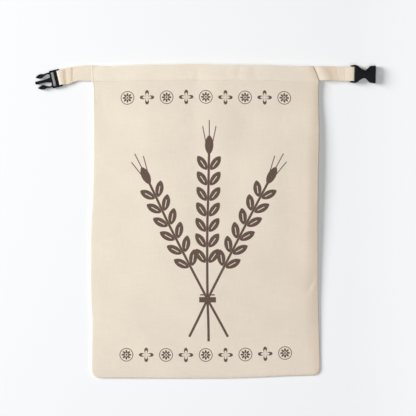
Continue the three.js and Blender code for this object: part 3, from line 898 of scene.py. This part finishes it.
# Rows: distance from the seam, height, reach to the upper and the lower edge, and slant of the cross lines
leftStrap = {
    "start": (-150.0, 197.1),
    "heading": 180.0,
    "turn": 13.0,
    "turnFrom": 8.0,
    "turnTo": 28.0,
    "barHeight": 2.9,
    "rows": [
        (-6.0, 2.10, 10.0, 10.0, 0.00), (-2.0, 2.33, 10.1, 10.2, 0.00), (1.2, 2.41, 10.2, 10.3, 0.00),
        (4.5, 2.62, 10.3, 10.4, 0.00),
        (8.0, 2.64, 10.3, 10.4, 0.00), (12.0, 2.64, 10.2, 10.2, 0.00), (20.0, 2.62, 9.8, 9.5, 0.10),
        (25.0, 2.60, 10.0, 9.5, 0.20), (28.0, 2.78, 10.2, 10.1, 0.22), (31.0, 3.30, 10.5, 10.7, 0.22),
        (36.0, 3.40, 11.0, 10.9, 0.19), (38.0, 3.72, 10.9, 10.6, 0.16), (40.0, 4.25, 10.6, 10.3, 0.12),
        (42.0, 4.65, 10.2, 10.0, 0.06), (43.5, 4.85, 9.8, 9.8, 0.00),
    ],
    "reach": 45.6,
    "tailFrom": 25.0,
    "tailPeek": 0.7,
    "sewnAt": (28.2, 38.2),
    # painted light: this strap is made paler than the same cloth on the right
    "tint": (1.025, 1.015, 1.0, 1.0),
    "paintedCreaseShadeAt": [(34.7, 3.0), (45.0, 2.6)],
    "creases": [(24.2, 6.0, -25.0, 3.6, 1.2, -0.30), (22.4, 3.6, -25.0, 3.2, 1.4, 0.20)],
}
rightStrap = {
    "start": (150.0, 196.5),
    "heading": 0.0,
    "turn": -1.2,
    "turnFrom": 4.0,
    "turnTo": 24.0,
    "barHeight": 4.7,
    "rows": [
        (-9.5, 5.15, 9.1, 8.8, 0.42), (-3.2, 5.18, 9.1, 8.8, 0.42), (-2.4, 5.20, 9.1, 8.9, 0.42),
        (-1.2, 5.30, 9.1, 9.0, 0.42), (0.5, 5.70, 9.1, 9.2, 0.42), (3.5, 6.40, 9.1, 9.3, 0.42),
        (7.0, 6.75, 9.2, 9.4, 0.42), (11.0, 6.60, 9.2, 9.4, 0.41), (14.0, 6.15, 9.2, 9.4, 0.40),
        (17.0, 5.55, 9.2, 9.4, 0.38), (20.0, 5.12, 9.2, 9.4, 0.35), (24.0, 4.98, 9.2, 9.4, 0.28),
        (30.0, 5.08, 9.2, 9.5, 0.14), (35.0, 5.48, 9.3, 9.6, 0.04), (40.0, 6.05, 9.3, 9.6, 0.00),
        (43.5, 6.50, 9.3, 9.6, 0.00),
    ],
    "reach": 46.5,
    "tailFrom": 25.0,
    "tailPeek": 0.3,
    "sewnAt": (24.8, 35.6),
    # painted shade: this strap is made darker and warmer than the same cloth on the left
    "tint": (0.985, 0.96, 0.935, 1.0),
    "paintedCreaseShadeAt": [(28.0, 7.0)],
    "creases": [(27.5, 7.0, 65.0, 4.0, 1.6, -0.20), (32.5, 5.5, 110.0, 3.5, 1.4, -0.15)],
}


# Cloth of a strap, with painted warm shade in its creases, listed by distance along the flat strap and half
# width
def strapCanvas(name, side):
    material, tree, sockets = newMaterial(name, canvasLook["roughness"])
    vector = clothVector(tree)
    along = splitVector(tree, vector)[0]
    colour, weave = clothColour(tree, vector, strap["layered"])
    # painted light and shade: each strap's cloth made paler or darker by its side
    colour = tinted(tree, 1.0, colour, side["tint"])
    # painted warm shade in the strap's creases
    for at, halfWide in side["paintedCreaseShadeAt"]:
        away = calc(tree, "DIVIDE", minus(tree, along, at), halfWide)
        crease = calc(tree, "EXPONENT", times(tree, away, times(tree, away, -1.0)))
        colour = tinted(tree, crease, colour, strap["paintedCreaseShadeTint"])
    finishCanvas(tree, sockets, colour, weave)
    return material


def strapHeading(side, distance):
    turned = side["turn"] * easeStep(distance, side["turnFrom"], side["turnTo"])
    return math.radians(side["heading"] + turned)


# Plan position and heading of a strap at a distance from the seam
def strapPlan(side, distance):
    steps = max(1, math.ceil(abs(distance)))
    point = Vector(side["start"])
    for step in range(steps):
        heading = strapHeading(side, distance * (step + 0.5) / steps)
        point += Vector((math.cos(heading), math.sin(heading))) * distance / steps
    return point, strapHeading(side, distance)


# Side view of a strap: out from the seam, round the bar and back under itself
def strapLine(side):
    bend = strap["barRadius"] + strap["barGap"] + strap["thickness"] / 2.0
    tail = fromTable(side["rows"], side["tailFrom"]) - strap["thickness"] - strap["layerGap"]
    points = [(row[0], row[1]) for row in side["rows"]]
    for angle in spread(90.0, -90.0, strap["loopTurn"]):
        turn = math.radians(angle)
        out = abs(math.cos(turn)) ** strap["loopSquare"]
        rise = math.copysign(abs(math.sin(turn)) ** strap["loopSquare"], angle)
        points.append((side["reach"] + bend * out, side["barHeight"] + bend * rise))
    for share in strap["tailShares"]:
        level = mix(side["barHeight"] - bend, tail, easeStep(share, 0.0, 1.0))
        points.append((mix(side["reach"], side["tailFrom"], share), level))
    return smoothThrough(points, strap["curveSteps"])


# Index of the point where a strap's line turns back
def furthestOut(line):
    return max(range(len(line)), key=lambda index: line[index].x)


# Dip at the sewn rows, and the creases: distance, way aside, turn, half length, half width and height
def rowDip(side, distance, aside):
    dip = 0.0
    for at in side["sewnAt"]:
        dip -= strap["rowDepth"] * math.exp(-((distance - at) / strap["rowWide"]) ** 2)
    return dip + creaseHeight(side["creases"], distance, aside)


# Point of a strap; across runs from -1 at its lower edge to 1 at the edge nearer to the mouth
def strapPoint(side, distance, across, level):
    reach = fromTable(side["rows"], distance, 2 if across > 0.0 else 3)
    aside = across * reach
    slant = fromTable(side["rows"], distance, 4)
    plan, heading = strapPlan(side, distance - slant * aside)
    upward = Vector((-math.sin(heading), math.cos(heading)))
    plan += upward * math.copysign(aside, aside * upward.y)
    return Vector((plan.x, plan.y, level))


def strapTab(name, side):
    line = strapLine(side)
    turnsAt = furthestOut(line)
    half = strap["width"] / 2.0
    shares = spread(-1.0, 1.0, strap["acrossStep"] / half)
    flatAt = [0.0]
    for before, after in zip(line, line[1:]):
        flatAt.append(flatAt[-1] + (after - before).length)
    bm = stationGrid(line, shares)
    flat = bm.verts.layers.float_vector.new("flat")
    for vert in bm.verts:
        station = round(vert.co.x)
        across = shares[round(vert.co.y)]
        level = line[station].y
        vert[flat] = (flatAt[station], across * half + half, 0.0)
        if station < turnsAt:
            calm = 1.0 - strap["edgeCalm"] * across * across
            level += rowDip(side, line[station].x, across * half) * calm
        else:
            across -= side["tailPeek"] / half * easeStep(station, turnsAt, len(line) - 1)
        vert.co = strapPoint(side, line[station].x, across, level)
    bmesh.ops.recalc_face_normals(bm, faces=bm.faces)
    mapFlat(bm, flat, 0.0)
    piece = makePiece(name, bm, [strapCanvas(name + "Canvas", side)])
    thicken(piece, strap["thickness"], 0.0)
    soft = piece.modifiers.new("softEdges", "BEVEL")
    soft.width = strap["rounding"] * toMetres
    soft.segments = strap["roundSegments"]
    soft.limit_method = "ANGLE"
    soft.angle_limit = math.radians(strap["roundAngle"])
    return piece, flatAt[-1]


for name, node, side in (("leftTab", "left_tab", leftStrap), ("rightTab", "right_tab", rightStrap)):
    tab, flatLength = strapTab(name, side)
    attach(tab, "root")
    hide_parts(node)
print("strap tabs folded")

# Sewing thread
threadLook = {
    "colour": (0.70, 0.60, 0.47, 1.0),
    # painted shade colour in the grooves between the plies
    "plyShadeColour": (0.42, 0.36, 0.282, 1.0),
    "plyShade": 0.35,
    "roughness": 0.8,
    "twist": 1.8,
    "spacing": 3.2,
    "length": 2.6,
    "radius": 0.26,
    "sink": 0.08,
    "sideGap": 4.0,
    "rowShare": 0.78,
    "segments": 8,
    "rings": 6,
}


def threadMaterial():
    material, tree, sockets = newMaterial("sewingThread", threadLook["roughness"])
    # Diagonal bands of painted shade in the grooves between the thread's plies
    ply = tree.nodes.new("ShaderNodeTexWave")
    ply.bands_direction = "DIAGONAL"
    ply.inputs["Scale"].default_value = 1.0 / toMetres / threadLook["twist"]
    tree.links.new(tree.nodes.new("ShaderNodeTexCoord").outputs["Object"], ply.inputs["Vector"])
    shade = times(tree, ply.outputs["Fac"], threadLook["plyShade"])
    colour = blendColour(tree, shade, threadLook["colour"], threadLook["plyShadeColour"])
    tree.links.new(colour, sockets["Base Color"])
    return material


def addStitch(bm, start, end):
    middle = Matrix.Translation((start + end) / 2.0)
    along = (end - start).normalized()
    turn = Vector((1.0, 0.0, 0.0)).rotation_difference(along).to_matrix().to_4x4()
    size = Matrix.Diagonal((threadLook["length"] / 2.0, threadLook["radius"], threadLook["radius"], 1.0))
    bmesh.ops.create_uvsphere(
        bm, u_segments=threadLook["segments"], v_segments=threadLook["rings"], radius=1.0,
        matrix=middle @ turn @ size,
    )


def hemStitch(bm, across):
    up = bag["length"] - bag["hemDepth"]
    lift = bag["thickness"] * (1.0 + bag["outerShare"]) / 2.0 - threadLook["sink"]
    ends = []
    for shift in (-0.5, 0.5):
        at = across + shift * threadLook["length"]
        plan = planPoint(at, up)
        ends.append(Vector((plan.x, plan.y, frontHeight(at, up) + lift)))
    addStitch(bm, ends[0], ends[1])


def strapStitches(bm, side):
    line = strapLine(side)
    upper = line[:furthestOut(line)]
    half = strap["width"] / 2.0
    reach = threadLook["length"] / 2.0 / half
    for at in side["sewnAt"]:
        near = min(upper, key=lambda point: abs(point.x - at))
        for across in spread(-threadLook["rowShare"], threadLook["rowShare"], threadLook["spacing"] / half):
            level = near.y + rowDip(side, near.x, across * half) + strap["thickness"] / 2.0
            start = strapPoint(side, near.x, across - reach, level)
            addStitch(bm, start, strapPoint(side, near.x, across + reach, level))


def sewStitches():
    bm = bmesh.new()
    for across in spread(threadLook["sideGap"], bag["width"] - threadLook["sideGap"], threadLook["spacing"]):
        hemStitch(bm, across)
    strapStitches(bm, leftStrap)
    strapStitches(bm, rightStrap)
    return makePiece("stitches", bm, [threadMaterial()])


stitches = sewStitches()
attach(stitches, "root")
print("seams stitched")

# Side-release buckle of black plastic
plasticLook = {
    "colour": (0.005, 0.005, 0.006, 1.0),
    "scuffColour": (0.014, 0.014, 0.016, 1.0),
    "scuffStretch": (0.25, 1.2, 0.6),
    "scuffRange": (0.55, 0.8),
    "scuffRoughness": 0.66,
    "roughness": 0.46,
    "specular": 0.10,
    "grainSize": 0.35,
    "grainDepth": 0.02,
    "grainStrength": 0.4,
}


# Fine moulded grain and faint scuffs; the vector is in millimetres
def grainGroup():
    group, given, result = newGroup("mouldGrain", ["Vector"], ["Height", "Scuff"])
    fine = noiseValue(group, given["Vector"], 1.0 / plasticLook["grainSize"])
    rubbed = noiseValue(group, stretch(group, given["Vector"], plasticLook["scuffStretch"]), 1.0, detail=4.0)
    scuff = remap(group, rubbed, *plasticLook["scuffRange"])
    group.links.new(fine, result["Height"])
    group.links.new(scuff, result["Scuff"])
    return group


def plasticMaterial():
    material, tree, sockets = newMaterial("blackPlastic", plasticLook["roughness"])
    place = tree.nodes.new("ShaderNodeTexCoord").outputs["Object"]
    vector = stretch(tree, place, (1.0 / toMetres, 1.0 / toMetres, 1.0 / toMetres))
    grain = useGroup(tree, grainGroup(), {"Vector": vector})
    scuff = grain["Scuff"]
    colour = blendColour(tree, scuff, plasticLook["colour"], plasticLook["scuffColour"])
    rough = remap(tree, scuff, 0.0, 1.0, plasticLook["roughness"], plasticLook["scuffRoughness"])
    tree.links.new(colour, sockets["Base Color"])
    tree.links.new(rough, sockets["Roughness"])
    sockets["Specular IOR Level"].default_value = plasticLook["specular"]
    addBump(tree, sockets, grain["Height"], plasticLook["grainStrength"], plasticLook["grainDepth"])
    return material


blackPlastic = plasticMaterial()
buckle = {
    "barReach": 10.5,
    "barSegments": 24,
    "railInside": 10.2,
    "halfWidth": 11.8,
    "curveSteps": 3,
    "bevelSegments": 4,
    "rimAngle": 40.0,
    "sharpAngle": 35.0,
}

# Halves of the buckle from the bar outwards: outlines are by distance from it and way aside
plug = {
    "thickness": 3.8,
    "prongThickness": 3.0,
    "stations": (-1.6, 3.1, 6.9, 10.5, 12.4),
    "slotHalf": 9.4,
    "cornerRound": 1.1,
    "bevel": 0.55,
    "prongBevel": 0.35,
    "centreProng": [
        (10.9, 4.4), (12.0, 4.1), (13.4, 3.4), (15.4, 2.8), (19.0, 2.1), (31.8, 2.0), (33.1, 1.5),
        (33.6, 0.7),
    ],
    "sideProng": [
        (10.9, 6.5), (12.0, 6.7), (13.2, 7.6), (15.0, 8.2), (18.0, 7.5), (20.4, 6.5), (22.4, 5.2),
        (24.2, 4.5), (27.0, 5.1), (30.0, 6.1), (31.1, 6.75), (31.2, 7.5), (30.4, 8.2), (27.6, 9.8),
        (24.4, 10.4), (22.2, 10.2), (20.2, 9.6), (14.2, 10.1), (12.0, 9.9), (10.9, 9.8),
    ],
}
socket = {
    "thickness": 8.4,
    "wall": 1.7,
    "bevel": 1.1,
    "strapFrom": -5.0,
    "bodyFrom": 3.1,
    "cavityFrom": 6.5,
    "cavityHalf": 9.7,
    "mouth": 30.2,
    "collarFrom": 27.6,
    "collarHalf": 9.2,
    "collarRise": 0.3,
    "cutHeight": 9.0,
    "cutPast": 1.0,
    "edge": [
        (-3.2, 11.1), (-0.5, 11.6), (2.4, 11.9), (4.8, 11.5), (7.0, 10.3), (9.5, 8.2), (12.8, 6.1),
        (15.9, 5.0), (18.9, 6.5), (21.8, 10.0), (23.2, 10.9), (26.0, 11.3), (30.2, 11.8),
    ],
}


def isRim(edge):
    level = abs(edge.verts[0].co.z - edge.verts[1].co.z) < sameSpot
    return level and edge.is_manifold and edge.calc_face_angle() > math.radians(buckle["rimAngle"])


# Raises flat faces to a plate centred on the bar's level and rounds its rims
def raisePlate(bm, faces, thickness, bevel):
    grown = bmesh.ops.extrude_face_region(bm, geom=faces)["geom"]
    moved = [item for item in grown if isinstance(item, bmesh.types.BMVert)]
    bmesh.ops.translate(bm, vec=(0.0, 0.0, thickness), verts=moved)
    bmesh.ops.recalc_face_normals(bm, faces=bm.faces)
    bmesh.ops.bevel(
        bm, geom=[edge for edge in bm.edges if isRim(edge)], offset=bevel, affect="EDGES",
        segments=buckle["bevelSegments"], profile=0.5, material=-1,
    )


def outlineFace(bm, outline, level):
    made = bmesh.ops.create_circle(bm, cap_ends=True, radius=1.0, segments=len(outline))["verts"]
    for vert, point in zip(made, outline):
        vert.co = (point[0], point[1], level)
    return list(made[0].link_faces)


def curvedOutline(rows):
    return [(point.x, point.y) for point in smoothThrough(rows, buckle["curveSteps"])]


def mirrored(outline):
    return [(along, -aside) for along, aside in outline]


def platePart(outline, thickness, bevel):
    bm = bmesh.new()
    raisePlate(bm, outlineFace(bm, outline, -thickness / 2.0), thickness, bevel)
    return bm


def boxPart(start, end, halfWidth, halfHeight):
    bm = bmesh.new()
    middle = Matrix.Translation(((start + end) / 2.0, 0.0, 0.0))
    size = Matrix.Diagonal((end - start, halfWidth * 2.0, halfHeight * 2.0, 1.0))
    bmesh.ops.create_cube(bm, size=1.0, matrix=middle @ size)
    return bm


def barPart():
    bm = bmesh.new()
    bmesh.ops.create_cone(
        bm, cap_ends=True, segments=buckle["barSegments"], radius1=strap["barRadius"],
        radius2=strap["barRadius"], depth=buckle["barReach"] * 2.0,
        matrix=Matrix.Rotation(math.pi / 2.0, 4, "X"),
    )
    return bm


# Frame of the plug: cells of a grid, without those of the strap space and the slot
def plugFrame():
    along = plug["stations"]
    reach = buckle["halfWidth"]
    aside = (-reach, -buckle["railInside"], -plug["slotHalf"], plug["slotHalf"], buckle["railInside"], reach)
    bm = stationGrid(along, aside)
    for vert in bm.verts:
        vert.co = (along[round(vert.co.x)], aside[round(vert.co.y)], -plug["thickness"] / 2.0)
    holes = []
    for face in bm.faces:
        middle = face.calc_center_median()
        inStrap = middle.x < along[1] and abs(middle.y) < buckle["railInside"]
        inSlot = along[2] < middle.x < along[3] and abs(middle.y) < plug["slotHalf"]
        if inStrap or inSlot:
            holes.append(face)
    bmesh.ops.delete(bm, geom=holes, context="FACES")
    corners = []
    for vert in bm.verts:
        atSide = abs(vert.co.y) > reach - sameSpot
        atEnd = vert.co.x < along[0] + sameSpot or vert.co.x > along[-1] - sameSpot
        if atSide and atEnd:
            corners.append(vert)
    bmesh.ops.bevel(
        bm, geom=corners, offset=plug["cornerRound"], affect="VERTICES",
        segments=buckle["bevelSegments"], profile=0.5, material=-1,
    )
    raisePlate(bm, list(bm.faces), plug["thickness"], plug["bevel"])
    return bm


# Joins or cuts solid parts in turn and returns one mesh
def combineParts(first, others):
    whole = makePiece("wholePart", first, [])
    for operation, part in others:
        other = makePiece("otherPart", part, [])
        step = whole.modifiers.new("combine", "BOOLEAN")
        step.operation = operation
        step.solver = "EXACT"
        step.object = other
        bpy.context.view_layer.update()
        shaped = whole.evaluated_get(bpy.context.evaluated_depsgraph_get())
        mesh = bpy.data.meshes.new_from_object(shaped)
        whole.modifiers.clear()
        whole.data = mesh
        bpy.data.objects.remove(other)
    bm = bmesh.new()
    bm.from_mesh(whole.data)
    bpy.data.objects.remove(whole)
    bmesh.ops.scale(bm, vec=(1.0 / toMetres, 1.0 / toMetres, 1.0 / toMetres), verts=bm.verts)
    return bm


# Moves a buckle half to the bar that its strap loops round
def setOnStrap(bm, side):
    point, heading = strapPlan(side, side["reach"])
    place = Matrix.Translation((point.x, point.y, side["barHeight"])) @ Matrix.Rotation(heading, 4, "Z")
    bmesh.ops.transform(bm, matrix=place, verts=bm.verts)


def bucklePlug():
    centre = curvedOutline(plug["centreProng"])
    prong = curvedOutline(plug["sideProng"])
    parts = [("UNION", barPart())]
    for outline in (mirrored(centre) + centre[::-1], prong, mirrored(prong[::-1])):
        parts.append(("UNION", platePart(outline, plug["prongThickness"], plug["prongBevel"])))
    bm = combineParts(plugFrame(), parts)
    setOnStrap(bm, leftStrap)
    return makePiece("bucklePlug", bm, [blackPlastic], buckle["sharpAngle"])


def buckleSocket():
    half = socket["thickness"] / 2.0
    edge = curvedOutline(socket["edge"])
    body = platePart(mirrored(edge) + edge[::-1], socket["thickness"], socket["bevel"])
    collar = boxPart(socket["collarFrom"], socket["mouth"], socket["collarHalf"], half + socket["collarRise"])
    strapSpace = boxPart(socket["strapFrom"], socket["bodyFrom"], buckle["railInside"], socket["cutHeight"])
    cavityEnd = socket["mouth"] + socket["cutPast"]
    cavity = boxPart(socket["cavityFrom"], cavityEnd, socket["cavityHalf"], half - socket["wall"])
    cuts = [("DIFFERENCE", strapSpace), ("DIFFERENCE", cavity)]
    bm = combineParts(body, [("UNION", collar)] + cuts + [("UNION", barPart())])
    setOnStrap(bm, rightStrap)
    return makePiece("buckleSocket", bm, [blackPlastic], buckle["sharpAngle"])


for piece, node in ((bucklePlug(), "buckle_plug"), (buckleSocket(), "buckle_socket")):
    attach(piece, "root")
    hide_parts(node)
print("buckle halves shaped")

# Studio, its places in metres: a pale floor with painted light that makes it paler to the right, large soft
# lights from the upper left and from above, and a camera straight above
studio = {
    "floorColour": (0.84, 0.845, 0.852, 1.0),
    # painted light: the floor is made paler to the right
    "floorFarPaintedLight": (0.89, 0.895, 0.903, 1.0),
    "floorFar": (-0.28, 0.28),
    "floorEdgePaintedLight": (0.96, 0.965, 0.98, 1.0),
    "floorEdge": (0.19, 0.29),
    "floorReach": 12.0,
    "floorDrop": 0.0001,
    "floorRoughness": 0.85,
    "worldColour": (0.96, 0.98, 1.0, 1.0),
    "worldStrength": 0.10,
    "keyPlace": (-3.40, 0.95, 2.00),
    "keySize": 2.0,
    "keyEnergy": 213.0,
    "topPlace": (0.2, -0.55, 3.0),
    "topSize": 1.9,
    "topEnergy": 38.0,
    "cameraPlace": (0.0031, 0.0168, 2.0),
    "cameraLens": 129.3,
    "cameraSensor": 36.0,
}


# Floor painted paler to the right: painted light that evens out the fall of the key light
def buildFloor():
    bm = bmesh.new()
    bmesh.ops.create_grid(bm, x_segments=1, y_segments=1, size=studio["floorReach"] / toMetres)
    bmesh.ops.translate(bm, vec=(0.0, 0.0, -studio["floorDrop"] / toMetres), verts=bm.verts)
    material, tree, sockets = newMaterial("paleFloor", studio["floorRoughness"])
    x = splitVector(tree, tree.nodes.new("ShaderNodeTexCoord").outputs["Object"])[0]
    far = remap(tree, x, *studio["floorFar"])
    edge = remap(tree, x, *studio["floorEdge"])
    # painted light: the floor grows paler to the right
    colour = blendColour(tree, far, studio["floorColour"], studio["floorFarPaintedLight"])
    colour = blendColour(tree, edge, colour, studio["floorEdgePaintedLight"])
    tree.links.new(colour, sockets["Base Color"])
    return makePiece("floor", bm, [material])


# Square light that faces the middle of the bag
def buildLight(name):
    light = bpy.data.lights.new(name + "Light", "AREA")
    light.shape = "SQUARE"
    light.size = studio[name + "Size"]
    light.energy = studio[name + "Energy"]
    holder = bpy.data.objects.new(name + "Light", light)
    holder.location = studio[name + "Place"]
    holder.rotation_euler = (-holder.location).to_track_quat("-Z", "Y").to_euler()
    bpy.context.scene.collection.objects.link(holder)


def buildCamera():
    lens = bpy.data.cameras.new("camera")
    lens.sensor_width = studio["cameraSensor"]
    lens.lens = studio["cameraLens"]
    camera = bpy.data.objects.new("camera", lens)
    camera.location = studio["cameraPlace"]
    bpy.context.scene.collection.objects.link(camera)
    bpy.context.scene.camera = camera


def buildWorld():
    world = bpy.data.worlds.new("studio")
    world.use_nodes = True
    background = world.node_tree.nodes["Background"]
    background.inputs["Color"].default_value = studio["worldColour"]
    background.inputs["Strength"].default_value = studio["worldStrength"]
    bpy.context.scene.world = world


buildFloor()
buildLight("key")
buildLight("top")
buildCamera()
buildWorld()
bpy.context.scene.view_settings.view_transform = "Standard"
print("studio set")
